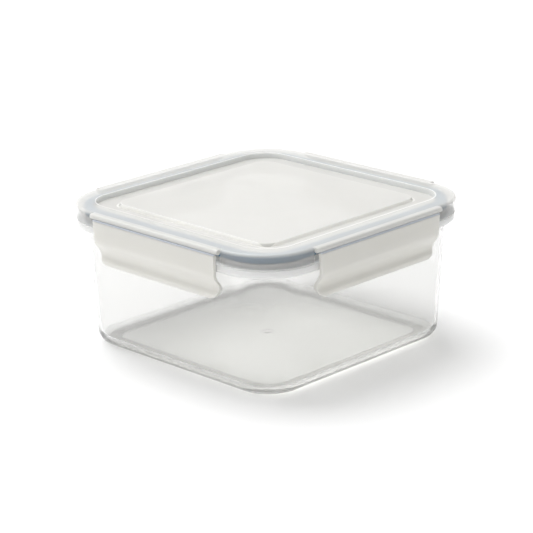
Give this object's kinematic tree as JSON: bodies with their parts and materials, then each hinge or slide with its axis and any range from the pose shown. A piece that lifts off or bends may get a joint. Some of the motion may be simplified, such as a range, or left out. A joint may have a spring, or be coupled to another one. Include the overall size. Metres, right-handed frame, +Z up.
{
  "type": "airtight food storage container",
  "caption": "Square airtight food container: clear tapered tub, translucent lid with a recessed rim, soft seal and side latches on living hinges that clip under the tub's flange.",
  "frame": {"origin": "centre of the underside, on the plane the foot stands on", "axes": "+Z up, -Y front, +X right"},
  "size_m": [0.15, 0.15, 0.071],
  "materials": {
    "clear_tub": "clear, polished",
    "milky_lid": "translucent, satin",
    "milky_latch": "translucent, satin",
    "hinge_line": "thin web, translucent",
    "blue_seal": "soft, matt"
  },
  "bodies": {
    "tub": {"tub": "clear_tub"},
    "lid": {"lid": "milky_lid", "seal": "blue_seal", "hinge_front": "hinge_line", "hinge_right": "hinge_line", "hinge_back": "hinge_line", "hinge_left": "hinge_line"},
    "latch_front": {"latch_front": "milky_latch"},
    "latch_right": {"latch_right": "milky_latch"},
    "latch_back": {"latch_back": "milky_latch"},
    "latch_left": {"latch_left": "milky_latch"}
  },
  "joints": [
    {"name": "lid_lift", "type": "slide", "parent": "tub", "child": "lid", "axis": [0, 0, 1], "range_m": [0, 0.02]},
    {"name": "latch_front_open", "type": "hinge", "parent": "lid", "child": "latch_front", "pos_m": [0, -0.07465, 0.0681], "axis": [-1, 0, 0], "range_deg": [0, 120]},
    {"name": "latch_right_open", "type": "hinge", "parent": "lid", "child": "latch_right", "pos_m": [0.07465, 0, 0.0681], "axis": [0, -1, 0], "range_deg": [0, 120]},
    {"name": "latch_back_open", "type": "hinge", "parent": "lid", "child": "latch_back", "pos_m": [0, 0.07465, 0.0681], "axis": [1, 0, 0], "range_deg": [0, 120]},
    {"name": "latch_left_open", "type": "hinge", "parent": "lid", "child": "latch_left", "pos_m": [-0.07465, 0, 0.0681], "axis": [0, 1, 0], "range_deg": [0, 120]}
  ],
  "couplings": [
    {"joint": "latch_front_open", "follows": "lid_lift", "rad_per_m": 104.7},
    {"joint": "latch_right_open", "follows": "lid_lift", "rad_per_m": 104.7},
    {"joint": "latch_back_open", "follows": "lid_lift", "rad_per_m": 104.7},
    {"joint": "latch_left_open", "follows": "lid_lift", "rad_per_m": 104.7}
  ]
}
